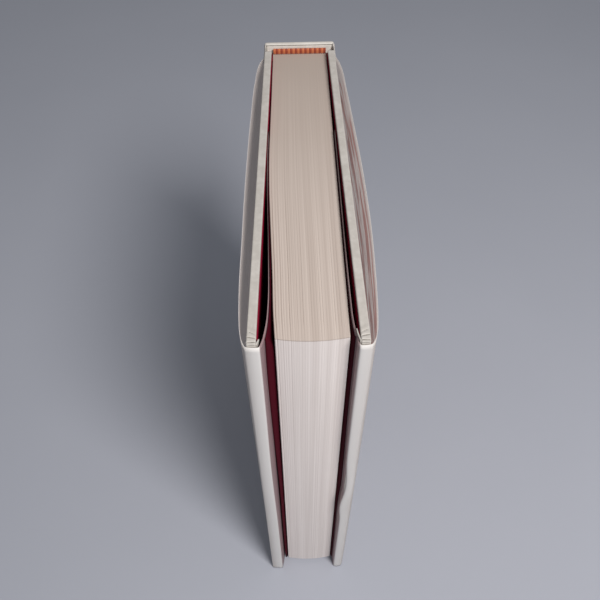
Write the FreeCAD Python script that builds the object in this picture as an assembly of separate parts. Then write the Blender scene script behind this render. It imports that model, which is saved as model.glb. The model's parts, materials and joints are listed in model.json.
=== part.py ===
import FreeCAD, Part
import math
import os

# A case-bound book standing on its tail edge, in a loose paper dust jacket.
# Millimetres, +Z from tail to head, +Y towards the spine, +X towards the front cover.
# It is drawn with the back of the page block on Y = 0, its middle plane on X = 0 and the
# table on Z = 0. At the end everything is shifted so that the origin is the middle of the
# footprint, on the table.

Vec = FreeCAD.Vector

# ---- Driving dimensions: page block ----
page_height = 188.0          # tail to head of the trimmed leaves
page_width = 127.5           # back to fore edge of the trimmed leaves
block_thick = 20.0           # all leaves with both flyleaves
fore_edge_bulge = 1.0        # the middle leaves stand this far proud at the fore edge
endpaper_thick = 0.15        # flyleaf and pastedown

# ---- Driving dimensions: spine of the block ----
band_tape_thick = 0.3        # headband tape, and the mull beside it
band_tape_height = 9.0       # tape glued on the back, below the bead
band_bead_height = 2.2       # bead above the leaves
band_bead_depth = 1.2        # bead, back to front
band_inset = 0.3             # band ends stop this far inside the block's faces
mull_flange_width = 25.0     # mull pasted on to each board
liner_thick = 0.25
liner_inset = 1.0            # lining stops this far from head, tail and shoulders

# ---- Driving dimensions: case ----
board_thick = 2.1            # both cover boards
spine_board_thick = 1.9
covering_thick = 0.2
turn_in = 15.0               # covering folded over the inside of the boards
tail_square = 3.0            # case below the leaves
head_square = 3.0            # case above the leaves
fore_square = 3.6            # case in front of the leaves, over the covering
pastedown_margin = 3.2       # covering left showing round the pastedown
case_edge_round = 0.4        # soft edges of the covered boards
spine_edge_round = 0.9       # soft long edges of the spine
joint_setback = 3.0          # boards start this far in front of the block's back
hinge_setback = 1.0          # hinge line, in front of the block's back

# ---- Driving dimensions: dust jacket ----
jacket_thick = 0.25
jacket_drop = 1.0            # jacket is this much shorter than the case
flap_width = 85.0
front_head_bow = 4.6         # how far the front panel bows off its board, at the head
back_head_bow = 3.2          # the same at the back
tail_bow = 0.4               # both panels at the tail
crease_out_share = 0.25      # the fore crease stands off by this share of the bow
crease_in = 0.5              # the flap's crease stands this far inside the cover
flap_spring_at = 14.0        # the flap lies nearest the flyleaf this far from its crease

# ---- Driving dimensions: how the covers stand ----
front_splay = 0.9            # degrees open, as it stands
back_splay = 1.9

# ---- Named clearances ----
cover_clear = 0.1            # pastedown to flyleaf at the hinge, covers closed
hollow_clear = 0.1           # lining to the inside of the spine
jacket_clear = 0.1           # jacket to covering where it lies close
front_flap_clear = 0.35      # front flap to flyleaf
back_flap_clear = 1.0        # back flap to flyleaf

# ---- Worked out from the sizes above ----
block_half = block_thick / 2.0
block_tail = tail_square
block_head = block_tail + page_height
case_height = tail_square + page_height + head_square
board_tail = covering_thick
board_head = case_height - covering_thick
jacket_height = case_height - jacket_drop

pastedown_x = block_half + cover_clear
turn_in_x = pastedown_x + endpaper_thick
board_x = turn_in_x + covering_thick
board_outer_x = board_x + board_thick
case_x = board_outer_x + covering_thick
jacket_x = case_x + jacket_clear
hinge_x = jacket_x + jacket_thick
hinge_y = -hinge_setback

case_fore_y = -page_width - fore_square
board_fore_y = case_fore_y + covering_thick
board_spine_y = -joint_setback

liner_y = band_tape_thick
spine_inner_y = liner_y + liner_thick + hollow_clear
spine_board_y = spine_inner_y + covering_thick
spine_board_outer_y = spine_board_y + spine_board_thick
spine_outer_y = spine_board_outer_y + covering_thick
jacket_spine_y = spine_outer_y + jacket_clear


def slab(x0, x1, y0, y1, z0, z1):
    """A rectangular solid between two corners."""
    return Part.makeBox(x1 - x0, y1 - y0, z1 - z0, Vec(x0, y0, z0))


def upright_edges(shape, y):
    """The edges of a shape that run along Z at one Y."""
    picked = []
    for edge in shape.Edges:
        a, b = edge.Vertexes[0].Point, edge.Vertexes[-1].Point
        if abs(a.z - b.z) > 1.0 and abs(a.y - y) < 1e-6 and abs(b.y - y) < 1e-6:
            picked.append(edge)
    return picked


def rim_edges(shape, z0, z1, y):
    """The outer edges of a plate: along the fore edge y, and round its ends z0 and z1."""
    picked = upright_edges(shape, y)
    for edge in shape.Edges:
        a, b = edge.Vertexes[0].Point, edge.Vertexes[-1].Point
        for z in (z0, z1):
            on_end = abs(a.z - z) < 1e-6 and abs(b.z - z) < 1e-6
            along = abs(a.y - b.y) > 1.0 or abs(a.y - y) < 1e-6
            if on_end and along:
                picked.append(edge)
    return picked


# ---- Page block and what is glued to it ----
def text_block():
    half = block_half - endpaper_thick
    corners = [Vec(-half, 0, 0), Vec(-half, -page_width, 0), Vec(half, -page_width, 0), Vec(half, 0, 0)]
    bulge = Vec(0, -page_width - fore_edge_bulge, 0)
    sides = [
        Part.LineSegment(corners[0], corners[1]).toShape(),
        Part.Arc(corners[1], bulge, corners[2]).toShape(),
        Part.LineSegment(corners[2], corners[3]).toShape(),
        Part.LineSegment(corners[3], corners[0]).toShape(),
    ]
    leaves = Part.Face(Part.Wire(sides)).extrude(Vec(0, 0, page_height))
    leaves.translate(Vec(0, 0, block_tail))
    return leaves


def flyleaf():
    return slab(block_half - endpaper_thick, block_half, -page_width, 0, block_tail, block_head)


def head_band():
    half = block_half - band_inset
    tape = slab(-half, half, 0, band_tape_thick, block_head - band_tape_height, block_head)
    front_y = band_tape_thick - band_bead_depth
    top = block_head + band_bead_height
    bead = slab(-half, half, front_y, band_tape_thick, block_head, top)
    crown = [e for e in bead.Edges if min(v.Z for v in e.Vertexes) > top - 1e-6]
    crown = [e for e in crown if abs(e.Vertexes[0].X - e.Vertexes[-1].X) > 1.0]
    bead = bead.makeFillet(band_bead_depth * 0.45, crown)
    return tape.fuse(bead).removeSplitter()


def tail_band():
    middle = Vec(0, 0, (block_tail + block_head) / 2.0)
    return head_band().mirror(middle, Vec(0, 0, 1))


def mull_span():
    """Tail and head ends of the mull: it stops clear of the turn-ins and the band tapes."""
    stop = max(turn_in - tail_square, band_tape_height) + liner_inset
    return block_tail + stop, block_head - stop


def spine_gauze():
    tail, head = mull_span()
    return slab(-block_half, block_half, 0, band_tape_thick, tail, head)


def spine_liner():
    half = block_half - liner_inset
    return slab(-half, half, liner_y, liner_y + liner_thick, block_tail + liner_inset, block_head - liner_inset)


# ---- Spine of the case ----
def u_channel(half, back_y, wall, radius, height):
    """A back plate with two side walls that reach forward to the hinge lines."""
    outer = slab(-half, half, hinge_y, back_y, 0, height)
    outer = outer.makeFillet(radius, upright_edges(outer, back_y))
    inner = slab(-half + wall, half - wall, hinge_y, back_y - wall, 0, height)
    inner = inner.makeFillet(radius - wall, upright_edges(inner, back_y - wall))
    return outer.cut(inner)


def spine_board():
    half = board_outer_x
    board = slab(-half, half, spine_board_y, spine_board_outer_y, board_tail, board_head)
    return board.makeFillet(spine_edge_round - covering_thick, upright_edges(board, spine_board_outer_y))


def spine_covering():
    sheet = u_channel(case_x, spine_outer_y, covering_thick, spine_edge_round, case_height)
    wrap = slab(-board_outer_x, board_outer_x, spine_inner_y, spine_outer_y - covering_thick, 0, case_height)
    window = slab(-case_x, case_x, 0, spine_board_y, turn_in, case_height - turn_in)
    full = slab(-case_x, case_x, hinge_y, spine_outer_y, 0, case_height)
    full = full.makeFillet(spine_edge_round, upright_edges(full, spine_outer_y))
    return sheet.fuse(wrap.common(full).cut(window).cut(spine_board())).removeSplitter()


def jacket_spine():
    back_y = jacket_spine_y + jacket_thick
    radius = spine_edge_round + jacket_clear + jacket_thick
    return u_channel(hinge_x, back_y, jacket_thick, radius, jacket_height)


# ---- One cover, drawn closed and parallel to the block on the +X side ----
def cover_board():
    return slab(board_x, board_outer_x, board_fore_y, board_spine_y, board_tail, board_head)


def cover_turn_ins():
    """The covering's folded margin on the inside of the board, at head, tail and fore edge."""
    sheet = slab(turn_in_x, board_x, case_fore_y, board_spine_y, 0, case_height)
    window = slab(turn_in_x, board_x, case_fore_y + turn_in, board_spine_y, turn_in, case_height - turn_in)
    return sheet.cut(window)


def cover_covering():
    plate = slab(turn_in_x, case_x, case_fore_y, hinge_y, 0, case_height)
    plate = plate.makeFillet(case_edge_round, rim_edges(plate, 0, case_height, case_fore_y))
    window = slab(turn_in_x, board_x, case_fore_y + turn_in, hinge_y, turn_in, case_height - turn_in)
    joint = slab(turn_in_x, board_outer_x, board_spine_y, hinge_y, 0, case_height)
    hems = joint.common(slab(board_outer_x - covering_thick, case_x, board_spine_y, hinge_y, 0, case_height))
    hems = hems.cut(slab(0, case_x, board_spine_y, hinge_y, turn_in, case_height - turn_in))
    return plate.cut(window).cut(joint).fuse(hems.common(plate)).cut(cover_board()).removeSplitter()


def gauze_flange():
    tail, head = mull_span()
    return slab(turn_in_x, board_x, -joint_setback - mull_flange_width, -joint_setback, tail, head)


def cover_pastedown():
    """The pasted half of the endpaper, which fills the shallow step inside the turn-ins."""
    edge = pastedown_margin
    sheet = slab(pastedown_x, board_x, case_fore_y + edge, board_spine_y, edge, case_height - edge)
    return sheet.cut(cover_turn_ins()).cut(gauze_flange())


def spline(points):
    curve = Part.BSplineCurve()
    curve.interpolate(points)
    return curve.toShape()


def jacket_section(bow, flap_clear, splay, z):
    """The closed outline of one jacket leaf at height z: panel, fore-edge wrap and flap."""
    wrap_y = case_fore_y - jacket_clear
    reach = hinge_y - wrap_y
    crease_x = jacket_x + bow * crease_out_share

    def panel(face):
        # Flat beside the hinge, so that the leaf can turn right back, then bowed.
        shares = [(0.0, 0.0), (0.042, 0.0), (0.15, 0.32), (0.35, 0.8), (0.62, 1.0), (0.88, 0.85)]
        points = [Vec(jacket_x + bow * b + face, hinge_y - s * reach, z) for s, b in shares]
        return points + [Vec(crease_x + face, wrap_y - face, z)]

    def flap(face):
        # The wedge between pastedown and flyleaf narrows towards the hinge.
        def wedge(y):
            return cover_clear + (hinge_y - y) * math.tan(math.radians(splay))
        end_y = wrap_y + flap_width
        near_y = wrap_y + flap_spring_at
        near_lift = wedge(near_y) - flap_clear - jacket_thick
        rising_y = wrap_y + 0.35 * flap_spring_at
        lifts = [(wrap_y - face, crease_in), (rising_y, 0.8 * near_lift), (near_y, near_lift)]
        # Beyond there it eases back, to end midway between the two.
        for step, share in [(1, 0.7), (2, 0.6), (3, 0.5)]:
            y = near_y + (end_y - near_y) * step / 3.0
            lifts.append((y, share * (wedge(y) - jacket_thick)))
        return [Vec(pastedown_x - lift - face, y, z) for y, lift in lifts]

    outside, inside = panel(jacket_thick), panel(0.0)
    leaf_side, board_side = flap(jacket_thick), flap(0.0)
    edges = [
        spline(outside),
        Part.LineSegment(outside[-1], leaf_side[0]).toShape(),
        spline(leaf_side),
        Part.LineSegment(leaf_side[-1], board_side[-1]).toShape(),
        spline(board_side[::-1]),
        Part.LineSegment(board_side[0], inside[-1]).toShape(),
        spline(inside[::-1]),
        Part.LineSegment(inside[0], outside[0]).toShape(),
    ]
    return Part.Wire(edges)


def cover_jacket(head_bow, flap_clear, splay):
    tail = jacket_section(tail_bow, flap_clear, splay, 0)
    head = jacket_section(head_bow, flap_clear, splay, jacket_height)
    return Part.makeLoft([tail, head], True, True)


def cover_pieces(side, head_bow, flap_clear, splay):
    """All pieces of one cover, opened by its splay about the hinge line."""
    pieces = {
        "board": cover_board(),
        "covering": cover_covering(),
        "gauze_flange": gauze_flange(),
        "pastedown": cover_pastedown(),
        "jacket": cover_jacket(head_bow, flap_clear, splay),
    }
    placed = {}
    for name, shape in pieces.items():
        shape.rotate(Vec(hinge_x, hinge_y, 0), Vec(0, 0, 1), splay)
        if side == "back":
            shape = shape.mirror(Vec(0, 0, 0), Vec(1, 0, 0))
        placed[side + "_" + name] = shape
    return placed


# ---- The whole book ----
parts = {
    "text_block": text_block(),
    "front_flyleaf": flyleaf(),
    "back_flyleaf": flyleaf().mirror(Vec(0, 0, 0), Vec(1, 0, 0)),
    "head_band": head_band(),
    "tail_band": tail_band(),
    "spine_gauze": spine_gauze(),
    "spine_liner": spine_liner(),
    "spine_board": spine_board(),
    "spine_covering": spine_covering(),
    "jacket_spine": jacket_spine(),
}
parts.update(cover_pieces("front", front_head_bow, front_flap_clear, front_splay))
parts.update(cover_pieces("back", back_head_bow, back_flap_clear, back_splay))

footprint = FreeCAD.BoundBox()
for shape in parts.values():
    footprint.add(shape.optimalBoundingBox(False))
shift = Vec(-footprint.Center.x, -footprint.Center.y, 0)

os.makedirs("parts", exist_ok=True)
for name, shape in parts.items():
    shape.translate(shift)
    shape.exportStep("parts/" + name + ".step")
    valid = "" if shape.isValid() else "  NOT VALID"
    print(name, len(shape.Solids), "solid", round(shape.Volume, 1), "mm3" + valid)

print("size", [round(v, 2) for v in (footprint.XLength, footprint.YLength, footprint.ZLength)])
print("front hinge line at", round(hinge_x + shift.x, 3), round(hinge_y + shift.y, 3))
print("back hinge line at", round(-hinge_x + shift.x, 3), round(hinge_y + shift.y, 3))
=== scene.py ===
# %% [markdown]
# # A hardback book in its paper jacket
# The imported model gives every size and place: the page block, the boards, the hinges. This
# lesson keeps those as the frame and makes what the eye meets, which is paper. A book's leaves,
# endpapers, covering and jacket are all thin sheets, so most pieces here are surfaces drawn
# row by row and then given a thickness.

import bpy
import json
import math
import numpy as np
from mathutils import Matrix, Vector


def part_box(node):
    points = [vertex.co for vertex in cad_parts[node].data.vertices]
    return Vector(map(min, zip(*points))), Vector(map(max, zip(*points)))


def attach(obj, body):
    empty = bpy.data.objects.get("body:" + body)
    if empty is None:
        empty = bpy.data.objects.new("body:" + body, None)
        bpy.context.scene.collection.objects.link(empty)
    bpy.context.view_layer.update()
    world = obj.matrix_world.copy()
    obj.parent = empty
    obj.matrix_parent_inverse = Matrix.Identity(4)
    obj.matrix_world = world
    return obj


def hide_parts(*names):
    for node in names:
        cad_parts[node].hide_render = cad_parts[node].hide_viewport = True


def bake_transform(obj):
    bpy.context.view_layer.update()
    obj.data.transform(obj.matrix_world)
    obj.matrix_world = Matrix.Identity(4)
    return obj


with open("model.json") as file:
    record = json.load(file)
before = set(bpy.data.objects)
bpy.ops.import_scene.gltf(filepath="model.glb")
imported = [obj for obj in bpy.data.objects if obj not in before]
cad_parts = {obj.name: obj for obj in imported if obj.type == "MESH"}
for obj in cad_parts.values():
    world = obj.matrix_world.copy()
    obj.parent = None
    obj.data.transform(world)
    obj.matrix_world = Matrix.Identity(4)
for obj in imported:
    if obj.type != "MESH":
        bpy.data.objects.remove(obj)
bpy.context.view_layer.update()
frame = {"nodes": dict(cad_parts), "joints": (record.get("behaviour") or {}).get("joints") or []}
mm = 0.001
rng = np.random.default_rng(11)

block_low, block_high = (np.array(v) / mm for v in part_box("text_block"))
leaf_low, leaf_high = (np.array(v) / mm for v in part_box("front_flyleaf"))
block_mid = (block_low[0] + block_high[0]) / 2
back_y, fore_y = leaf_high[1], leaf_low[1]
tail_z, head_z = leaf_low[2], leaf_high[2]
block_half = leaf_high[0] - block_mid
block_tall, block_deep = head_z - tail_z, back_y - fore_y
print("page block", round(2 * block_half, 1), "x", round(block_deep, 1), "x", round(block_tall, 1), "mm")

# %% [markdown]
# ## Places on a cover
# A cover stands slightly open, so its own directions are a little turned: out, away from the
# leaves; reach, from the hinge line to the fore edge; and height. The largest flat face of the
# board gives the first, so the splay is read from the model and never typed in again.

# %% A cover's own directions
class Cover:
    """Places on one cover, in millimetres: out from the hinge line, reach to the fore edge, height."""

    def __init__(self, side):
        self.side = side
        self.body = side + "_cover"
        self.away = 1.0 if side == "front" else -1.0
        joint = next(j for j in frame["joints"] if j["child"] == self.body)
        self.hinge = np.array(joint["pos_m"]) * (1, 1, 0)
        face = max(frame["nodes"][side + "_board"].data.polygons, key=lambda p: p.area)
        normal = np.array(face.normal)
        self.out = normal * np.sign(normal[0] * self.away)
        self.reach = np.cross(self.out, (0, 0, self.away))
        self.splay = math.asin(abs(self.reach[0]))

    def place(self, out, reach, z):
        """Points of the scene, in metres."""
        parts = np.broadcast_arrays(out, reach, np.asarray(z, float))
        out, reach, z = (v[..., None] * mm for v in parts)
        return self.hinge + out * self.out + reach * self.reach + z * np.array((0, 0, 1))

    def measure(self, node):
        """Lowest and highest out, reach and height of a CAD node."""
        points = np.array([v.co for v in frame["nodes"][node].data.vertices]) - self.hinge
        own = points @ np.stack([self.out, self.reach, (0, 0, 1)]).T / mm
        return own.min(0), own.max(0)

    def bend(self, piece, first, last):
        """Bake a piece's place into its points. The two distances from the hinge line give two points
        that nothing uses.
        """
        height = 97.0  # any height on the hinge line would do
        start, end = (self.place(np.zeros(1), np.array([r]), height)[0] for r in (first, last))
        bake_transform(piece)


covers = [Cover("front"), Cover("back")]
for cover in covers:
    print(cover.body, "stands", round(math.degrees(cover.splay), 2), "degrees open")

# %% [markdown]
# ## The view, the table and the light
# The camera looks steeply down on the fore edge and the head. One large soft lamp stands to the
# front and right, above the book, as a window would; the sky fills the shadows with cool light.

# %% Camera, table and lamps
def stand_camera(place, turn, down, roll, lens):
    """A camera at a place in mm, turned, tipped down and rolled by some degrees."""
    data = bpy.data.cameras.new("camera")
    data.lens = lens
    camera = bpy.data.objects.new("camera", data)
    aim = Matrix.Rotation(math.radians(-turn), 4, "Z") @ Matrix.Rotation(math.radians(90 - down), 4, "X")
    aim = aim @ Matrix.Rotation(math.radians(roll), 4, "Z")
    camera.matrix_world = Matrix.Translation(Vector(place) * mm) @ aim
    bpy.context.scene.collection.objects.link(camera)
    bpy.context.scene.camera = camera


def hang_lamp(name, place, aim, size, power, colour):
    data = bpy.data.lights.new(name, "AREA")
    data.shape = "DISK"
    data.size = size
    data.energy = power
    data.color = colour
    lamp = bpy.data.objects.new(name, data)
    lamp.location = Vector(place)
    lamp.rotation_euler = (Vector(aim) - Vector(place)).to_track_quat("-Z", "Y").to_euler()
    bpy.context.scene.collection.objects.link(lamp)


stand_camera(place=(-4.9, -161.8, 337.7), turn=1.12, down=52.94, roll=-0.53, lens=40.82)
hang_lamp("window", place=(0.22, -0.37, 0.68), aim=(0, 0, 0.08), size=0.26, power=4.7,
          colour=(1.0, 0.965, 0.94))
sky = bpy.data.worlds.new("sky")
sky.use_nodes = True
backdrop = sky.node_tree.nodes["Background"]
backdrop.inputs["Color"].default_value = (0.93, 0.95, 1.0, 1)
backdrop.inputs["Strength"].default_value = 0.25
bpy.context.scene.world = sky
bpy.context.scene.view_settings.view_transform = "Standard"
print("view, lamp and sky are ready")

# %% [markdown]
# ## Surfaces through rows of points
# A sheet is easiest to think of as rows: each row is one cut through it, and the rows are joined
# by four-sided faces. `flowing` draws a smooth line through the few heights that set a shape.
# Each point also keeps its place on the flat sheet, which the finishes read, so that a print
# or a mottle stays where it is when the cover opens.

# %% Rows of points, and sheets with a thickness
def flowing(points, at):
    """The smooth line through (place, height) points, read at some places."""
    places, heights = (np.array(v, float) for v in zip(*points))
    at = np.clip(np.asarray(at, float), places[0], places[-1])
    step = np.clip(np.searchsorted(places, at, side="right") - 1, 0, len(places) - 2)
    slopes = np.gradient(heights, places)
    span = places[step + 1] - places[step]
    t = (at - places[step]) / span
    rise = heights[step + 1] - heights[step]
    a, b = slopes[step] * span - rise, rise - slopes[step + 1] * span
    return heights[step] + t * rise + t * (1 - t) * ((1 - t) * a + t * b)


def ease(low, high, at):
    """0 at low, 1 at high, and smooth between them; low may be the larger one."""
    t = np.clip((np.asarray(at, float) - low) / (high - low), 0, 1)
    return t * t * (3 - 2 * t)


def grid_faces(rows, columns, around=False):
    """Four-sided faces between rows of points; `around` joins the last row to the first."""
    last = rows if around else rows - 1
    faces = []
    for i in range(last):
        for j in range(columns - 1):
            a, b = i * columns + j, (i + 1) % rows * columns + j
            faces.append((a, a + 1, b + 1, b))
    return faces


SHARP = 50.0  # degrees: a steeper edge between two faces stays crisp


def make_mesh(name, points, faces, finish, flat=None, smooth=True):
    """A piece from points in metres; `flat` is each point's place on its own flat sheet."""
    mesh = bpy.data.meshes.new(name)
    mesh.from_pydata(np.asarray(points).tolist(), [], faces)
    if smooth:
        mesh.shade_smooth()
        mesh.set_sharp_from_angle(angle=math.radians(SHARP))
    flat = points if flat is None else flat
    kept = mesh.attributes.new("flat", "FLOAT_VECTOR", "POINT")
    kept.data.foreach_set("vector", np.asarray(flat, np.float32).ravel())
    mesh.materials.append(finish)
    piece = bpy.data.objects.new(name, mesh)
    bpy.context.scene.collection.objects.link(piece)
    return piece


def make_sheet(name, rows, finish, thick, flat=None, flip=False, inside=None):
    """A sheet through rows of points, in metres, thickened both ways by a total of `thick` mm."""
    rows = np.asarray(rows)
    faces = grid_faces(rows.shape[0], rows.shape[1])
    if flip:
        faces = [f[::-1] for f in faces]
    if flat is not None:
        flat = np.asarray(flat).reshape(-1, 3)
    piece = make_mesh(name, rows.reshape(-1, 3), faces, finish, flat)
    body = piece.modifiers.new("thickness", "SOLIDIFY")
    body.thickness = thick * mm
    body.offset = 0.0
    if inside is not None:
        piece.data.materials.append(inside)
        body.material_offset = 1
    print(name, "has", len(faces), "faces and is", thick, "mm thick")
    return piece


# %% [markdown]
# ## Shader maths as arithmetic
# A finish is a web of small sums. Written with sockets it is unreadable, so one class wraps a
# socket and gives it plus, minus and times; colours are mixed by `blend`, because a Math node
# would turn them grey.

# %% Sockets that can be added up
class Amount:
    """A socket in a finish, so that shader maths reads as plain arithmetic."""

    def __init__(self, finish, socket):
        self.finish, self.socket = finish, socket

    def __add__(self, other):
        return self.finish.maths("ADD", self, other)

    def __sub__(self, other):
        return self.finish.maths("SUBTRACT", self, other)

    def __rsub__(self, other):
        return self.finish.maths("SUBTRACT", other, self)

    def __mul__(self, other):
        return self.finish.maths("MULTIPLY", self, other)


class Finish:
    """One material and the nodes that make it."""

    def __init__(self, name):
        self.material = bpy.data.materials.new(name)
        self.material.use_nodes = True
        self.tree = self.material.node_tree
        self.tree.nodes.clear()

    def feed(self, socket, value):
        """Link an Amount to a socket, or set the socket to a plain value or colour."""
        if isinstance(value, Amount):
            self.tree.links.new(value.socket, socket)
        else:
            socket.default_value = (*value, 1) if socket.type == "RGBA" else value

    def node(self, kind, settings=None, sockets=None, out=0):
        """Add a node, set it up, feed its sockets, and give one output back as an Amount."""
        made = self.tree.nodes.new("ShaderNode" + kind)
        for key, value in (settings or {}).items():
            setattr(made, key, value)
        for key, value in (sockets or {}).items():
            self.feed(made.inputs[key], value)
        return Amount(self, made.outputs[out]) if made.outputs else made

    def maths(self, operation, *values):
        return self.node("Math", {"operation": operation}, dict(enumerate(values)))

    def flat_place(self):
        """Where a point lies on its own flat sheet, in metres."""
        return self.node("Attribute", {"attribute_name": "flat"}, out="Vector")

    def frame_place(self):
        """Where a point lies in the frame, in metres."""
        return self.node("TexCoord", out="Object")

    def stretched(self, place, scale):
        return self.node("VectorMath", {"operation": "MULTIPLY"}, {0: place, 1: scale})

    def noise(self, place, scale, detail=3.0, rough=0.55):
        sockets = {"Vector": place, "Scale": scale, "Detail": detail, "Roughness": rough}
        return self.node("TexNoise", None, sockets)

    def parts(self, place):
        """A place's three numbers, one by one."""
        split = self.node("SeparateXYZ", None, {0: place})
        return [Amount(self, s) for s in split.socket.node.outputs]

    def between(self, value, low, high):
        """0 below low, 1 above high, and smooth between them."""
        sockets = {"Value": value, "From Min": low, "From Max": high}
        return self.node("MapRange", {"interpolation_type": "SMOOTHSTEP"}, sockets)

    def blend(self, factor, first, second):
        """The first colour where the factor is 0, the second where it is 1."""
        made = self.tree.nodes.new("ShaderNodeMix")
        made.data_type = "RGBA"
        for place, value in ((0, factor), (6, first), (7, second)):
            self.feed(made.inputs[place], value)
        return Amount(self, made.outputs[2])

    def relief(self, height, strength, depth=0.0001):
        return self.node("Bump", None, {"Height": height, "Strength": strength, "Distance": depth})

    def paper(self, colour, rough, normal=None, **plain):
        """The usual shader; `plain` sets sockets that are the same all over."""
        sockets = {"Base Color": colour, "Roughness": rough}
        if normal is not None:
            sockets["Normal"] = normal
        sockets.update({key.replace("_", " "): value for key, value in plain.items()})
        return self.node("BsdfPrincipled", None, sockets)

    def done(self, shader):
        self.node("OutputMaterial", None, {"Surface": shader})
        return self.material


# %% [markdown]
# ### The table
# A plain pale board, barely uneven, so that the book is all there is to look at.

# %% The table top
def table_finish():
    f = Finish("table_top")
    cloud = f.noise(f.frame_place(), 9.0, 2.0)
    colour = f.blend(cloud, (0.42, 0.44, 0.50), (0.45, 0.47, 0.53))
    return f.done(f.paper(colour, 0.75, Specular_IOR_Level=0.3))


def lay_table():
    half = 2.5
    corners = [(-half, -half, 0), (half, -half, 0), (half, half, 0), (-half, half, 0)]
    table = make_mesh("table", corners, [(0, 1, 2, 3)], table_finish(), smooth=False)


lay_table()
print("table laid")

# %% [markdown]
# ## Finishes of the leaves and endpapers
# Cut paper edges are not one colour. Each leaf is a fine line, some a shade darker, so the
# noise is stretched: very fine across the leaves and very long along them. The endpapers are
# dyed through, with short fibres on the surface.

# %% Cut leaves
def leaves_finish():
    f = Finish("cut_leaves")
    place = f.flat_place()
    _, along, high = f.parts(place)
    thin = f.noise(f.stretched(place, (3200.0, 9.0, 9.0)), 1.0, 2.0, 0.6)
    band = f.noise(f.stretched(place, (520.0, 5.0, 5.0)), 1.0, 2.0, 0.5)
    cloud = f.noise(place, 22.0, 2.0)
    lines = f.between(thin * 0.65 + band * 0.35, 0.38, 0.64)
    fore = f.blend(lines, (0.74, 0.68, 0.655), (0.85, 0.79, 0.765))
    # painted shade: the cut head is given a darker colour than the fore edge, for light that falls from
    # the front
    head = f.blend(lines, (0.45, 0.38, 0.335), (0.54, 0.465, 0.415))
    # painted shade: the head darkens further towards the spine, away from the lamp
    head = f.blend(f.between(along, -0.03, 0.07), head, (0.40, 0.335, 0.29))
    head_cut = f.between(high, 0.1905, 0.19075)
    colour = f.blend(head_cut, fore, head)
    colour = f.blend(cloud * 0.2, colour, (0.60, 0.53, 0.49))
    normal = f.relief(thin, 0.3, 0.00005)
    return f.done(f.paper(colour, 0.88, normal, Specular_IOR_Level=0.25))


# %% Endpaper
def endpaper_finish(name, shaded_margins):
    """The free leaf is painted darker along the head and the fore edge: painted shade of the narrow gaps
    that these edges stand in.
    """
    f = Finish(name)
    place = f.frame_place()
    fibre = f.noise(f.stretched(place, (900.0, 900.0, 500.0)), 1.0, 4.0, 0.65)
    colour = f.blend(f.between(fibre, 0.3, 0.7), (0.185, 0.003, 0.019), (0.25, 0.005, 0.029))
    if shaded_margins:
        _, along, high = f.parts(place)
        # painted shade: the margins along the head and the fore edge are darkened for the gaps they
        # stand in
        margin_shade = f.between(along, -0.045, -0.062) + f.between(high, 0.172, 0.189)
        colour = f.blend(f.maths("MINIMUM", margin_shade, 1.0), colour, (0.062, 0.0008, 0.0075))
    return f.done(f.paper(colour, 0.8, f.relief(fibre, 0.25), Specular_IOR_Level=0.12))


cut_leaves = leaves_finish()
endpaper_pasted = endpaper_finish("endpaper_pasted", False)
endpaper_free = endpaper_finish("endpaper_free", True)
print("finishes:", cut_leaves.name, endpaper_pasted.name, endpaper_free.name)

# %% [markdown]
# ## How the leaves stand
# The back cover stands further open than the front, so the last leaves fan out into that wedge,
# tight against the board near the spine and pushed back by the flap at the fore edge. One
# profile gives how far the last leaf stands off; everything on that side follows it.

# %% The wedge between the leaves and each cover
def wedge(cover, along):
    """Room between the block's flat side and the pastedown, `along` mm behind the fore edge."""
    pasted = cover.measure(cover.side + "_pastedown")[0][0]
    hinge_side = cover.away * (cover.hinge[0] / mm - block_mid) - block_half
    reach = cover.hinge[1] / mm - fore_y - np.asarray(along, float)
    return hinge_side + pasted + reach * math.tan(cover.splay)


# Each pair is a distance behind the fore edge and how far the last leaf stands off there.
FAN = [(0, 0.0), (7, 0.37), (22, 0.62), (38, 1.05), (57, 1.45), (70, 1.4), (81, 1.15), (100, 0.62),
       (127, 0.0)]
FAN_CLEAR = 0.22
FAN_AT_TAIL = 0.55


def fan(along, z):
    """How far the last leaf bulges towards the back cover; less at the tail than at the head."""
    room = np.maximum(wedge(covers[1], along) - FAN_CLEAR, 0)
    share = FAN_AT_TAIL + (1 - FAN_AT_TAIL) * (z - tail_z) / block_tall
    return np.minimum(flowing(FAN, along), room) * share


print("room at the fore edge:", [round(float(wedge(c, 0)), 2) for c in covers], "mm")

# %% [markdown]
# ## The page block
# A block of leaves is cut on three sides. Seen close, its edges are not flat: leaves gather in
# little groups with a hairline between them, deeper where the block is loose near the fore edge
# and almost gone where the glue holds the spine. Every column of points is a plane between
# leaves, and every row runs round the block: head, fore edge, tail, back.

# %% The leaves' edges
def leaf_groups(groups, per_group):
    """Places across the block, and how deep each is below the cut edge."""
    widths = rng.uniform(0.75, 1.25, groups)
    edges = np.concatenate([[0], np.cumsum(widths) / widths.sum()])
    deep = rng.uniform(0.45, 1.0, groups + 1) ** 1.5
    share, dent = [], []
    for g in range(groups):
        for k in range(per_group):
            t = k / per_group
            share.append(edges[g] + (edges[g + 1] - edges[g]) * t)
            near = max(0.0, 1 - min(t, 1 - t) * 5.0)
            groove = deep[g] if t < 0.5 else deep[g + 1]
            dent.append(near * groove + rng.uniform(0, 0.16))
    return np.array(share + [1.0]), np.array(dent + [0.2])


def leaf_outline(steps_head, steps_fore):
    """The block's outline in one leaf's plane: (behind the fore edge, height, way in)."""
    rows = []
    for t in np.linspace(0, 1, steps_head)[:-1] ** 0.75:
        rows.append((block_deep * (1 - t), head_z, 0, -1))
    for t in np.linspace(0, 1, steps_fore):
        rows.append((0.0, head_z - block_tall * t, 1, 0))
    for t in np.linspace(0, 1, steps_head)[1:] ** 1.33:
        rows.append((block_deep * t, tail_z, 0, 1))
    for t in np.linspace(0, 1, 4)[1:-1]:
        rows.append((block_deep, tail_z + block_tall * t, 0, 0))
    return rows


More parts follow.
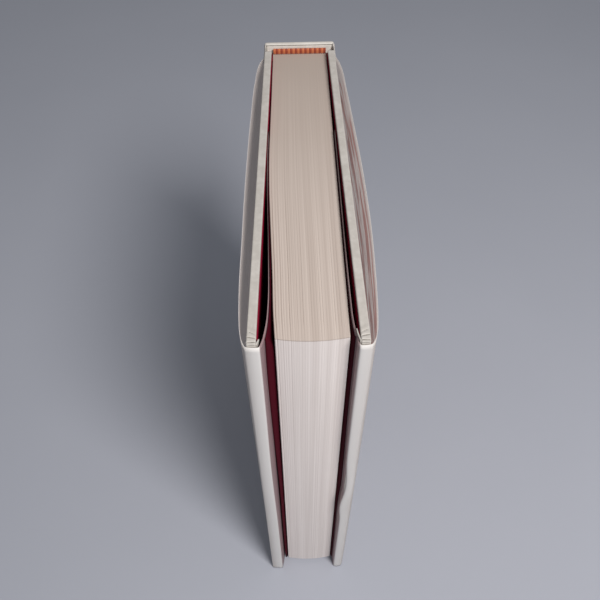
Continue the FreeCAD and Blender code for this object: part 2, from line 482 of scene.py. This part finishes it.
def make_page_block():
    """loose is how free the leaves are, crown the fore edge's roundness, sink each groove."""
    share, dent = leaf_groups(27, 8)
    outline = leaf_outline(40, 56)
    bulge = fore_y - block_low[1]
    half = block_half - (leaf_high[0] - leaf_low[0])
    points = []
    for along, z, in_y, in_z in outline:
        loose = ease(75, 4, along) * 0.9 + 0.1
        spread = fan(along, z)
        x = -half + 2 * half * share - spread * (1 - share) ** 2.2
        open_gap = 1 + 1.6 * spread * (1 - share) ** 6 + 2.5 * (1 - share) ** 14
        sink = (0.13 - 0.07 * in_y) * dent * loose * open_gap
        crown = bulge * (1 - (2 * share - 1) ** 2) * ease(9, 0, along)
        y = fore_y + along - crown + in_y * sink
        points.append(np.stack([block_mid + x, y, z + in_z * sink], 1))
    points = np.array(points) * mm
    rows, columns = points.shape[:2]
    faces = [f[::-1] for f in grid_faces(rows, columns, around=True)]
    faces.append([i * columns for i in range(rows)][::-1])
    faces.append([i * columns + columns - 1 for i in range(rows)])
    flat = points.copy()
    flat[..., 0] = share * 2 * half * mm
    piece = make_mesh("page_block", points.reshape(-1, 3), faces, cut_leaves, flat.reshape(-1, 3))
    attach(piece, "book_block")
    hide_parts("text_block")
    print("page_block has", len(faces), "faces,", columns, "columns")


make_page_block()

# %% [markdown]
# ## The free endpapers
# Each flyleaf is glued only along the back, and its fore edge springs away from the leaves to
# rest on the jacket's flap. It is a curved sheet: the curve is drawn once as a distance from the
# block, behind the fore edge, and it closes up a little towards the tail.

# %% Flyleaves
ENDPAPER = 0.14
JOINT_PAPER = 0.12
FLYLEAF_SINK = 0.155
FLYLEAF_CLEAR = 0.1
COVER_CLEAR = 0.12
HEAD_FLARE = 4.0
FORE_FLARE = 0.6
# Along the head: a distance behind the fore edge, and how far the sheet stands off.
FLYLEAF = {
    "front": [(0, 1.0), (4, 0.6), (10, 0.4), (20, 0.28), (40, 0.2), (80, 0.12), (127.5, 0.08)],
    "back": [(0, 2.35), (1.5, 2.1), (4, 1.72), (9, 1.34), (14, 1.16), (20, 1.12), (33, 1.27),
             (45, 1.42), (57, 1.6), (70, 1.55), (81, 1.3), (100, 0.75), (127.5, 0.08)],
}
# Along the fore edge: a height, and how far the sheet stands off.
FORE_GAP = {
    "front": [(0, 1.0), (40, 1.05), (78, 1.1), (95, 1.7), (115, 1.6), (150, 1.3), (191, 1.3)],
    "back": [(0, 1.15), (50, 1.4), (88, 1.5), (118, 1.9), (142, 2.3), (182, 2.5), (191, 2.35)],
}


def flyleaf_off(cover, along, z):
    """How far a flyleaf stands off the block: it flares out at the head and along the fore edge."""
    low = FLYLEAF_CLEAR
    if cover.side == "back":
        low = low + fan(along, z)
    head_flare = (flowing(FLYLEAF[cover.side], along) - low) * np.exp(-(head_z - z) / HEAD_FLARE)
    fore_flare = flowing(FORE_GAP[cover.side], z) * np.exp(-np.maximum(along, 0) / FORE_FLARE)
    off = low + np.maximum(head_flare, fore_flare)
    return np.clip(off, low, np.maximum(wedge(cover, along) - COVER_CLEAR, FLYLEAF_CLEAR))


def make_flyleaf(cover):
    along = np.linspace(0, 1, 61) ** 1.6 * block_deep
    rows = []
    for z in head_z - block_tall * np.linspace(1, 0, 56) ** 1.8:
        off = block_half + flyleaf_off(cover, along, z) - FLYLEAF_SINK
        x = block_mid + cover.away * off
        rows.append(np.stack([x, fore_y + along, np.full_like(x, z)], 1) * mm)
    name = cover.side + "_free_endpaper"
    piece = make_sheet(name, rows, endpaper_free, ENDPAPER, flip=cover.away > 0)
    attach(piece, "book_block")
    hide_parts(cover.side + "_flyleaf")


for cover in covers:
    make_flyleaf(cover)

# %% [markdown]
# ## The pasted endpapers and the joints
# The other half of each endpaper is pasted to the board, over the turned-in covering, and it
# stays a flat sheet. Between the two halves the paper dips into the joint. That strip is the one
# that has to bend when the cover opens, so it is its own piece, close to the hinge line.

# %% Pastedowns
MORE_TALL = 2.0
MORE_REACH = 1.2


def make_pastedown(cover):
    low, high = cover.measure(cover.side + "_pastedown")
    reach = np.linspace(low[1], high[1] + MORE_REACH, 40)
    rows = []
    for z in np.linspace(low[2] - MORE_TALL, high[2] + MORE_TALL, 50):
        rows.append(cover.place(np.full_like(reach, low[0] + ENDPAPER / 2), reach, z))
    name = cover.side + "_pasted_endpaper"
    piece = make_sheet(name, rows, endpaper_pasted, ENDPAPER, flip=cover.away > 0)
    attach(piece, cover.body)
    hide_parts(cover.side + "_pastedown")


def make_endpaper_joint(cover):
    """The strip's path, as pairs of reach and out: off the block, into the joint, up the board."""
    low, high = cover.measure(cover.side + "_pastedown")
    block_out = cover.away * (block_mid - cover.hinge[0] / mm) + block_half
    dip = [(-1.0, block_out + 0.05), (-0.55, block_out * 0.72), (0.0, -1.0), (0.6, -0.66),
           (1.2, -0.75), (1.6, -1.3), (1.72, -2.3), (1.8, -2.95), (2.2, low[0] - 0.13),
           (3.4, low[0] - 0.1)]
    t = np.linspace(0, len(dip) - 1, 55)
    reach = flowing([(i, d[0]) for i, d in enumerate(dip)], t)
    out = flowing([(i, d[1]) for i, d in enumerate(dip)], t)
    half = (high[2] - low[2]) / 2 + MORE_TALL * ease(0.0, 2.0, reach)
    middle = (high[2] + low[2]) / 2
    rows = [cover.place(out, reach, middle + t * half) for t in np.linspace(-1, 1, 24)]
    name = cover.side + "_endpaper_joint"
    piece = make_sheet(name, rows, endpaper_pasted, JOINT_PAPER, flip=cover.away > 0)
    cover.bend(piece, -0.3, 1.9)


for cover in covers:
    make_pastedown(cover)
    make_endpaper_joint(cover)

# %% [markdown]
# ## Headband and tailband
# A band is a cord wound with two colours of thread, sewn or glued where the leaves meet the
# spine. The bead is drawn as one row per step across the block; each thread swells a little, so
# the stripes are real ridges, and the colour changes with the thread.

# %% Band thread
BAND_THREADS = 22
STEPS_A_THREAD = 8
THREAD_SWELL = 0.10
TAPE = 0.28
RING_STEP = 0.0006  # metres round the bead from one point to the next, for the finish


def band_finish():
    f = Finish("band_thread")
    place = f.flat_place()
    across = f.parts(place)[0]
    wave = f.maths("SINE", across * (math.pi * BAND_THREADS))
    twist = f.noise(f.stretched(place, (260.0, 900.0, 900.0)), 1.0, 3.0)
    colour = f.blend(f.between(wave, -0.25, 0.25), (0.24, 0.022, 0.004), (0.54, 0.15, 0.05))
    colour = f.blend(twist * 0.45, colour, (0.38, 0.08, 0.025))
    return f.done(f.paper(colour, 0.6, f.relief(twist, 0.5), Sheen_Weight=0.25))


band_thread = band_finish()


def band_ring(box, edge, end, tape_end, swell):
    """One cut through a band: round the bead, then down the tape on the block's back."""
    low, high = box
    depth = high[1] - low[1]
    tall = (high[2] - edge) if end > 0 else (edge - low[2])
    radius = depth / 2 + swell - THREAD_SWELL
    ring = []
    for a in np.linspace(-0.5 * math.pi, 1.0 * math.pi, 15):
        lift = tall / 2 * math.sin(a) + tall / 2 + swell * math.sin(a) - THREAD_SWELL
        ring.append((low[1] + depth / 2 - radius * math.cos(a), edge + end * max(lift, 0.02)))
    outer, inner = high[1] - 0.02, high[1] - TAPE
    return ring + [(outer, edge + end * 0.2), (outer, tape_end), (inner, tape_end),
                   (inner, edge - end * 0.05)]


def make_band(name, end):
    """end is 1 at the head and -1 at the tail."""
    low, high = (np.array(v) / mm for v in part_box(name))
    edge = head_z if end > 0 else tail_z
    tape_end = low[2] if end > 0 else high[2]
    steps = BAND_THREADS * STEPS_A_THREAD
    rows, flat = [], []
    for i in range(steps + 1):
        share = i / steps
        x = low[0] + (high[0] - low[0]) * share
        swell = THREAD_SWELL * abs(math.sin(math.pi * BAND_THREADS * share)) ** 0.7
        ring = band_ring((low, high), edge, end, tape_end, swell)
        rows.append([(x, y, z) for y, z in ring])
        flat.append([(share, k * RING_STEP, 0) for k in range(len(ring))])
    count = len(rows[0])
    faces = []
    for i in range(steps):
        for k in range(count):
            a, b = i * count + k, i * count + (k + 1) % count
            faces.append((a, b, b + count, a + count))
    faces.append(list(range(count))[::-1])
    faces.append([steps * count + k for k in range(count)])
    if end > 0:
        faces = [f[::-1] for f in faces]
    points = (np.array(rows) * mm).reshape(-1, 3)
    piece = make_mesh(name + "_sewn", points, faces, band_thread, np.array(flat).reshape(-1, 3))
    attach(piece, "book_block")
    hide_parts(name)
    print(piece.name, "has", BAND_THREADS, "turns of thread")


make_band("head_band", 1)
make_band("tail_band", -1)

# %% [markdown]
# ## The covering of the case
# Cream paper is drawn tight over each board and folded in round three sides, so every edge of
# the board is soft, and the corners show small pleats where the paper is tucked. The covering is
# a skin round the board: a grid on each side of a rounded block, with the inside left open where
# the paper ends, and the joint side left open where it runs on to the spine.

# %% Covering paper
def covering_finish(name, tone):
    """tone is how light the paper is: the spine has kept cleaner under the jacket."""
    f = Finish(name)
    place = f.flat_place()
    mottle = f.noise(place, 260.0, 5.0, 0.7)
    cloud = f.noise(place, 45.0, 3.0)
    grain = f.noise(place, 2200.0, 2.0)
    dark = tuple(tone * c for c in (0.46, 0.435, 0.40))
    light = tuple(tone * c for c in (0.56, 0.535, 0.50))
    colour = f.blend(f.between(mottle, 0.35, 0.68), dark, light)
    colour = f.blend(cloud * 0.4, colour, dark)
    rough = f.between(mottle, -0.6, 1.4) * 0.3 + 0.5
    normal = f.relief(mottle * 0.6 + grain * 0.4, 0.3, 0.00006)
    return f.done(f.paper(colour, rough, normal, Specular_IOR_Level=0.4))


covering_paper = covering_finish("covering_paper", 1.0)
covering_spine = covering_finish("covering_spine", 1.35)


def graded(low, high, fine, coarse):
    """Places from low to high, close together near both ends."""
    found, at = [low], low
    while at < high - 1e-9:
        gap = min(at - low, high - at)
        at += fine + (coarse - fine) * float(ease(0, 20.0, gap - 1.0))
        found.append(min(at, high))
    found = np.array(found)
    return low + (found - low) * (high - low) / (found[-1] - low)


print("covering papers:", covering_paper.name, "and", covering_spine.name)

# %% A rounded skin round a board
COVERING = 0.18
EDGE = 0.34  # radius of the covered board's edges
TURN_IN = 15.0
JOINT_REACH = 2.0
# Each crease: its distance from the corner, how far it fans out, its depth.
CREASES = [(0.8, -0.2, 0.5), (1.9, 0.5, 0.42), (3.0, 1.2, 0.26), (4.6, 1.8, 0.14)]


def tucks(along, down, across):
    """How deep the folded corner is creased; the creases fan out from the inner corner."""
    width = 0.15
    deep = 0.0
    for place, fan_out, depth in CREASES:
        line = along - place - fan_out * across
        deep = deep + depth * np.exp(-(line / width) ** 2) * ease(2.4, 0.2, down)
    return deep


def waves(along, first, second, shift):
    """Paper is never quite flat along an edge."""
    return 0.05 + 0.04 * (np.sin(along * first + shift) + 0.6 * np.sin(along * second))


def skin_faces(outs, reaches, heights):
    """Faces of a skin round a block of places; open in the joint and where the endpaper lies."""
    index, points, faces = {}, [], []

    def point(i, j, k):
        if (i, j, k) not in index:
            index[i, j, k] = len(points)
            points.append((outs[i], reaches[j], heights[k]))
        return index[i, j, k]

    last = len(outs) - 1, len(reaches) - 1, len(heights) - 1
    middle = [(a[1:] + a[:-1]) / 2 for a in (reaches, heights)]
    for j, reach in enumerate(middle[0]):
        for k, z in enumerate(middle[1]):
            ring = [(j, k), (j + 1, k), (j + 1, k + 1), (j, k + 1)]
            faces.append([point(last[0], *p) for p in ring])
            pasted = reach < reaches[-1] - TURN_IN and TURN_IN < z < heights[-1] - TURN_IN
            if reach > JOINT_REACH and not pasted:
                faces.append([point(0, *p) for p in (ring[0], ring[3], ring[2], ring[1])])
    for i in range(last[0]):
        for k in range(last[2]):
            ring = [(i, k), (i, k + 1), (i + 1, k + 1), (i + 1, k)]
            faces.append([point(a, last[1], c) for a, c in ring])
        for j, reach in enumerate(middle[0]):
            if reach < JOINT_REACH and i < last[0] - 1:
                continue
            ring = [(i, j), (i, j + 1), (i + 1, j + 1), (i + 1, j)]
            faces.append([point(a, c, 0) for a, c in ring])
            faces.append([point(a, c, last[2]) for a, c in ring[::-1]])
    return np.array(points), faces


def rounded(grid, low, high):
    """Draw the grid's edges in to a radius; the joint side has none, as it runs on."""
    core_low, core_high = low + EDGE, high - EDGE
    core_low[1] = low[1] - 50
    near = np.clip(grid, core_low, core_high)
    far = np.linalg.norm(grid - near, axis=1)
    edge = far > 1e-9
    grid[edge] = near[edge] + (grid - near)[edge] / far[edge, None] * EDGE
    return grid


def make_covering(cover):
    low, high = cover.measure(cover.side + "_covering")
    outs = np.linspace(low[0], high[0], 13)
    reaches = graded(low[1] - 0.7, high[1], 0.12, 3.2)
    heights = graded(low[2], high[2], 0.12, 3.4)
    grid, faces = skin_faces(outs, reaches, heights)
    grid = rounded(grid, low, high)
    front_left = high[1] - grid[:, 1]
    head_left = high[2] - grid[:, 2]
    tail_left = grid[:, 2] - low[2]
    across = np.clip((grid[:, 0] - low[0]) / (high[0] - low[0]), 0, 1)
    middle = np.sin(math.pi * across) ** 0.4
    wave = waves(grid[:, 1], 0.31, 0.83, 1.3)
    wave_up = waves(grid[:, 2], 0.23, 0.61, 0.4)
    grid[:, 2] -= (tucks(front_left, head_left, across) + wave * ease(1.2, 0, head_left)) * middle
    grid[:, 2] += (tucks(front_left, tail_left, across) + wave * ease(1.2, 0, tail_left)) * middle
    end_left = np.minimum(head_left, tail_left)
    tuck = 0.5 * tucks(end_left, front_left, across)
    grid[:, 1] -= (tuck + wave_up * ease(1.2, 0, front_left)) * middle
    if cover.away > 0:
        faces = [f[::-1] for f in faces]
    name = cover.side + "_covering_paper"
    piece = make_mesh(name, cover.place(*grid.T), faces, covering_paper, grid * mm)
    skin = piece.modifiers.new("thickness", "SOLIDIFY")
    skin.thickness = COVERING * mm
    skin.offset = -1.0
    cover.bend(piece, -0.6, 1.95)
    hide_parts(cover.side + "_covering")
    print(piece.name, "has", len(faces), "faces")


for cover in covers:
    make_covering(cover)

# %% [markdown]
# ### Small lips at the corners
# Where the paper was folded in at a corner, a doubled edge has come unstuck from the board and
# stands up on the inner side, like a small ear. It is longer on the front cover.

# %% Corner lips
LIP_TALL = 6.0
LIP_THICK = 0.3


def make_corner_lip(cover, long, stand):
    """A lip some mm long that stands off the board by some mm at its free end."""
    low, high = cover.measure(cover.side + "_covering")
    drop = np.linspace(LIP_TALL, 0, 9)
    lean = 1 - 0.6 * drop / LIP_TALL
    rows = []
    for t in np.linspace(0, 1, 18):
        reach = high[1] - 0.35 - long * t
        off = stand * math.sin(t * math.pi / 2) ** 1.3
        corner = 0.5 * (1 - math.sqrt(1 - t ** 6))
        z = high[2] - 0.25 - corner - drop * (1 - 0.45 * t)
        rows.append(cover.place(low[0] - 0.1 - off * lean, np.full_like(z, reach), z))
    name = cover.side + "_corner_lip"
    piece = make_sheet(name, rows, covering_paper, LIP_THICK, flip=cover.away > 0)
    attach(piece, cover.body)


make_corner_lip(covers[0], long=4.4, stand=0.75)
make_corner_lip(covers[1], long=1.7, stand=0.55)

# %% [markdown]
# ### The covering over the spine
# Between the two joints the same cream paper wraps the spine board. Its path is a wide U seen
# from above; at the head and the tail the path steps inwards, row by row, to go over the edge.

# %% Spine covering
def spine_path(half, back, radius, front, squeeze, inset):
    """Points of the U round the spine; inset draws the back in, and the sides by a share of it."""
    side = half - squeeze * inset
    angles = np.linspace(0, math.pi / 2, 9)
    legs = np.linspace(front, back - radius, 8)[:-1]
    right = [(side, y) for y in legs]
    for a in angles:
        right.append((half - radius + (side - half + radius) * math.cos(a),
                      back - radius + (radius - inset) * math.sin(a)))
    flat_back = [(x, back - inset) for x in np.linspace(half - radius, radius - half, 26)[1:-1]]
    left = [(-x, y) for x, y in right[::-1]]
    return np.array(right + flat_back + left)


def make_spine_covering():
    low, high = (np.array(v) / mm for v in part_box("spine_covering"))
    half = (high[0] - low[0]) / 2 - COVERING / 2
    back = high[1] - COVERING / 2
    # The fold over an end, as pairs of way in and distance below that end.
    fold = [(2.0, 16.0), (2.03, 6.0), (2.04, 0.9), (1.9, 0.3), (1.6, 0.06), (1.1, 0.0),
            (0.6, 0.02), (0.25, 0.12), (0.06, 0.4), (0.0, 0.8), (0.0, 3.0)]
    steps = [(i, high[2] - 0.05 - d) for i, d in fold]
    steps += [(0.0, z) for z in np.linspace(high[2] - 8, low[2] + 8, 30)]
    steps += [(i, low[2] + 0.05 + d) for i, d in fold[::-1]]
    rows = []
    for inset, z in steps:
        x, y = spine_path(half, back, 0.9, high[1] - 3.26, 0.15, inset).T
        rows.append(np.stack([x + block_mid, y, np.full_like(x, z)], 1) * mm)
    piece = make_sheet("spine_covering_paper", rows, covering_spine, COVERING)
    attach(piece, "book_block")
    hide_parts("spine_covering")


make_spine_covering()

# %% [markdown]
# ## The jacket
# One sheet of thin paper goes round the case and folds in at both fore edges. It was cut for a
# tighter fit, so it stands off the boards like a bow at the head and lies close at the tail.
# Each half is a sheet in rows: every row is one cut through panel, fore-edge fold and flap.

# %% Jacket paper
RED = (0.60, 0.11, 0.10)
PINK = (0.86, 0.33, 0.30)  # the red print seen through the sheet
PALE = (0.98, 0.94, 0.92)  # light that comes through the sheet
# painted shade with a painted red cast: the mauve grey of a flap in its gap beside the crimson endpaper
FLAP_SHADE_TINT = (0.30, 0.205, 0.215)
# painted shade: the flap's head edge is darkened for the dark of the gap it stands in
FLAP_EDGE_SHADE = (0.03, 0.012, 0.012)  # the flap's head edge, where it is in the dark of the gap


SPINE_AT = -0.5  # metres along the sheet, well clear of the two halves


def box_mask(f, across, high, edges, soft=0.0004):
    """1 inside a plain rectangle on the sheet, 0 outside; edges in metres."""
    x0, x1, z0, z1 = edges
    inside = f.between(across, x0, x0 + soft) * f.between(across, x1, x1 - soft)
    return inside * f.between(high, z0, z0 + soft) * f.between(high, z1, z1 - soft)


def front_print(f, place, across, high):
    """Rows of short upright bars, a hatched field across the upper part of the front."""
    bar = f.noise(f.stretched(place, (30.0, 400.0, 1.0)), 1.0, 2.0, 0.5)
    field = box_mask(f, across, high, (-0.126, -0.006, 0.112, 0.1925), 0.004)
    return f.between(bar, 0.46, 0.56) * field


def spine_print(f, place, across, high):
    """A plain block of colour and two rules."""
    left, right = SPINE_AT - 0.0095, SPINE_AT + 0.0095
    block = box_mask(f, across, high, (left, right, 0.128, 0.170))
    upper = box_mask(f, across, high, (left, right, 0.124, 0.1255))
    lower = box_mask(f, across, high, (left, right, 0.022, 0.0235))
    return block + upper + lower


def jacket_finish(name, ink, inside):
    """single is how little light comes through: the loose panels glow, the folded edge doesn't."""
    f = Finish(name)
    place = f.flat_place()
    across, high, _ = f.parts(place)
    cloud = f.noise(place, 22.0, 2.0)
    grain = f.noise(place, 1500.0, 3.0)
    if inside:
        colour = f.blend(cloud, (0.80, 0.745, 0.735), (0.74, 0.69, 0.68))
        single = 0.88
    else:
        colour = f.blend(cloud, (0.82, 0.80, 0.78), (0.77, 0.75, 0.73))
        # painted shade with a painted red cast: the flap side of the sheet is coloured mauve grey
        colour = f.blend(f.between(across, -0.0002, 0.0006), colour, FLAP_SHADE_TINT)
        # painted shade along the flap's head edge, from about 18 mm behind the fold onwards
        edge_shade = f.between(high, 0.1926, 0.19285) * f.between(across, 0.018, 0.040)
        colour = f.blend(edge_shade, colour, FLAP_EDGE_SHADE)
        single = f.between(across, -0.001, -0.006) * 0.44 + 0.1
    if ink:
        printed = ink(f, place, across, high)
        colour = f.blend(printed * (0.8 if inside else 0.9), colour, PINK if inside else RED)
        single = single - printed * (0.5 if inside else 0.1)
    rough = 0.6 if inside else 0.42
    front = f.paper(colour, rough, f.relief(grain, 0.12), Specular_IOR_Level=0.3)
    through = f.node("BsdfTranslucent", None, {"Color": PALE})
    return f.done(f.node("MixShader", None, {0: single, 1: front, 2: through}))


jacket_printed = jacket_finish("jacket_printed", front_print, False)
jacket_plain = jacket_finish("jacket_plain", None, False)
jacket_spine = jacket_finish("jacket_spine_print", spine_print, False)
jacket_printed_inside = jacket_finish("jacket_printed_inside", front_print, True)
jacket_plain_inside = jacket_finish("jacket_plain_inside", None, True)
print("jacket finishes ready")

# %% The jacket's shape at the head and at the tail
PAPER = 0.14
HALF_JACKET = 0.125
FOLD = 130.35  # reach of the fore-edge fold
FLAP_WIDE = 84.5
FOLD_AHEAD = 3.9  # of the leaves' fore edge
FLAP_CLEAR = 0.2
# At the head: a reach, and how far the panel stands off its board.
BOW = {
    "front": [(0, 0), (4.8, 0.02), (6.8, 0.7), (9.5, 1.3), (24.5, 2.35), (40.5, 3.05), (69.5, 4.0),
              (86.5, 4.1), (105.5, 3.5), (116, 2.9), (122.5, 2.35), (126.5, 1.75), (128.8, 1.05),
              (130.1, 0.25)],
    "back": [(0, 0), (4.8, 0.02), (6.8, 0.9), (9.5, 1.65), (18.5, 2.5), (39.5, 3.05), (69.5, 3.2),
             (93.5, 2.9), (114.5, 2.5), (121.5, 2.1), (126, 1.6), (128.6, 0.95), (130.1, 0.25)],
}
# At the head: a distance behind the fold, and how far the flap stands off the block.
FLAP = {
    "front": [(0, 2.1), (1.0, 1.6), (2.2, 1.2), (5, 0.8), (8, 0.65), (14, 0.6), (22, 0.5), (45, 0.45),
              (85, 0.4)],
    "back": [(0, 3.75), (1, 3.35), (2.2, 2.95), (5, 2.3), (8, 1.85), (12.5, 1.5), (18, 1.35),
             (24, 1.35), (37, 1.5), (49, 1.7), (61, 1.85), (74, 1.7), (85, 1.4)],
}
# How much the front panel swells near its fold, towards the tail.
ROUND = [(0, 0), (108, 0), (118, 0.35), (125, 0.75), (128.4, 0.65), (130.1, 0.0)]


def panel_bow(cover, reach, z, top):
    """How far a jacket panel stands off its board: full at the head, a tenth of it at the tail."""
    high = z / top
    bow = np.maximum(flowing(BOW[cover.side], reach), 0) * (0.1 + 0.9 * high ** 0.8)
    if cover.side == "front":
        bow = bow + flowing(ROUND, reach) * (1 - high ** 2)
    return bow


def flap_off(cover, from_fold, z, top):
    """How far the flap stands off the block, `from_fold` mm behind its fold.

    The front one is dented and bellied near its fold; the back one draws in towards the tail.
    """
    high = z / top
    off = flowing(FLAP[cover.side], from_fold)
    leaf = flyleaf_off(cover, from_fold - FOLD_AHEAD, np.clip(z, tail_z, head_z))
    near_fold = ease(5, 0, from_fold)
    if cover.side == "front":
        dent = 0.7 * np.exp(-((high - 0.41) / 0.05) ** 2) + 0.35 * ease(0.4, 0.0, high)
        belly = 0.8 * np.exp(-((high - 0.52) / 0.08) ** 2)
        off = off + (belly - dent) * near_fold
    else:
        off = off * (0.75 + 0.25 * high) + 0.35 * np.exp(-((high - 0.6) / 0.2) ** 2) * near_fold
    return np.maximum(off, leaf + FLAP_CLEAR)


def make_jacket_leaf(cover):
    """Panel, wrap round the fore edge, and flap, as one row at each height."""
    top = cover.measure(cover.side + "_jacket")[1][2]
    panel_reach = np.concatenate([np.linspace(-0.7, 6, 20), np.linspace(6, 118, 70)[1:],
                                  np.linspace(118, FOLD - 0.25, 30)[1:]])
    from_fold = FLAP_WIDE * np.linspace(0, 1, 74) ** 1.9
    steps = np.linspace(0, 1, 16)[1:-1, None]
    bulge = (np.sin(steps * math.pi) ** 0.5) * 0.3 * mm
    rows, flat = [], []
    for z in np.linspace(0, top, 90):
        panel_out = panel_bow(cover, panel_reach, z, top) - HALF_JACKET
        panel = cover.place(panel_out, panel_reach, z)
        x = block_mid + cover.away * (block_half + flap_off(cover, from_fold, z, top))
        y = cover.hinge[1] / mm - FOLD + from_fold
        flap = np.stack([x, y, np.full_like(y, z)], 1) * mm
        wrap = panel[-1] + (flap[0] - panel[-1]) * steps + bulge * cover.reach
        row = np.concatenate([panel, wrap, flap])
        along = np.concatenate([[0], np.cumsum(np.linalg.norm(np.diff(row, axis=0), axis=1))])
        along = along - along[len(panel) + len(wrap)]
        rows.append(row)
        flat.append(np.stack([along, np.full_like(along, z * mm), np.zeros_like(along)], 1))
    outer = jacket_printed if cover.side == "front" else jacket_plain
    inner = jacket_printed_inside if cover.side == "front" else jacket_plain_inside
    name = cover.side + "_jacket_paper"
    piece = make_sheet(name, rows, outer, PAPER, flat, flip=cover.away > 0, inside=inner)
    cover.bend(piece, -0.6, 1.95)
    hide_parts(cover.side + "_jacket")


for cover in covers:
    make_jacket_leaf(cover)

# %% [markdown]
# ### The jacket's spine
# The strip between the two panels stays with the page block. Its edges at the head and the tail
# are cut clean, and two soft creases mark where the sheet was folded round the spine.

# %% Jacket spine
def make_jacket_spine():
    low, high = (np.array(v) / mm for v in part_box("jacket_spine"))
    half, back = (high[0] - low[0]) / 2, high[1] - HALF_JACKET
    rows, flat = [], []
    for z in np.linspace(low[2], high[2], 80):
        x, y = spine_path(half - HALF_JACKET, back, 1.1, high[1] - 3.61, 0, 0).T
        y = y - 0.12 * (1 - (x / half) ** 2) * (0.5 + 0.5 * math.sin(z * 0.035))
        rows.append(np.stack([x + block_mid, y, np.full_like(x, z)], 1) * mm)
        run = np.concatenate([[0], np.cumsum(np.hypot(np.diff(x), np.diff(y)))]) * mm
        across = run[::-1] - run[-1] / 2 + SPINE_AT
        flat.append(np.stack([across, np.full_like(run, z * mm), np.zeros_like(run)], 1))
    piece = make_sheet("jacket_spine_paper", rows, jacket_spine, PAPER, flat, inside=jacket_plain_inside)
    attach(piece, "book_block")
    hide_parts("jacket_spine")


make_jacket_spine()

# %% [markdown]
# ## What stays hidden in a closed book
# Boards, mull and lining keep the model's own shapes. They show only at the joints or when the
# book is taken apart, but a maker would expect grey board to be speckled, mull to be an open
# weave and lining paper to be brown.

# %% Grey board, mull and lining
def board_finish():
    f = Finish("grey_board")
    place = f.frame_place()
    speck = f.noise(place, 1400.0, 4.0, 0.7)
    layers = f.noise(f.stretched(place, (2500.0, 200.0, 200.0)), 1.0, 3.0)
    colour = f.blend(f.between(speck, 0.35, 0.7), (0.20, 0.185, 0.165), (0.36, 0.34, 0.31))
    colour = f.blend(layers * 0.4, colour, (0.30, 0.28, 0.25))
    return f.done(f.paper(colour, 0.9, f.relief(speck, 0.5), Specular_IOR_Level=0.2))


def mull_finish():
    f = Finish("mull_weave")
    along, across, high = f.parts(f.frame_place())
    thread_gap = 0.0011
    turn = 2 * math.pi / thread_gap
    warp = f.maths("SINE", high * turn)
    weft = f.maths("SINE", (along + across) * turn)
    thread = f.maths("MAXIMUM", warp, weft)
    colour = f.blend(f.between(thread, 0.1, 0.6), (0.42, 0.38, 0.30), (0.83, 0.80, 0.72))
    return f.done(f.paper(colour, 0.9, f.relief(thread, 0.6), Sheen_Weight=0.2))


def lining_finish():
    f = Finish("lining_kraft")
    fibre = f.noise(f.stretched(f.frame_place(), (700.0, 700.0, 160.0)), 1.0, 4.0, 0.6)
    colour = f.blend(f.between(fibre, 0.3, 0.7), (0.28, 0.17, 0.09), (0.43, 0.29, 0.17))
    return f.done(f.paper(colour, 0.75, f.relief(fibre, 0.3)))


def dress(finish, *names):
    for name in names:
        mesh = frame["nodes"][name].data
        mesh.materials.clear()
        mesh.materials.append(finish)
    print(finish.name, "on", ", ".join(names))


dress(board_finish(), "front_board", "back_board", "spine_board")
dress(mull_finish(), "spine_gauze", "front_gauze_flange", "back_gauze_flange")
dress(lining_finish(), "spine_liner")
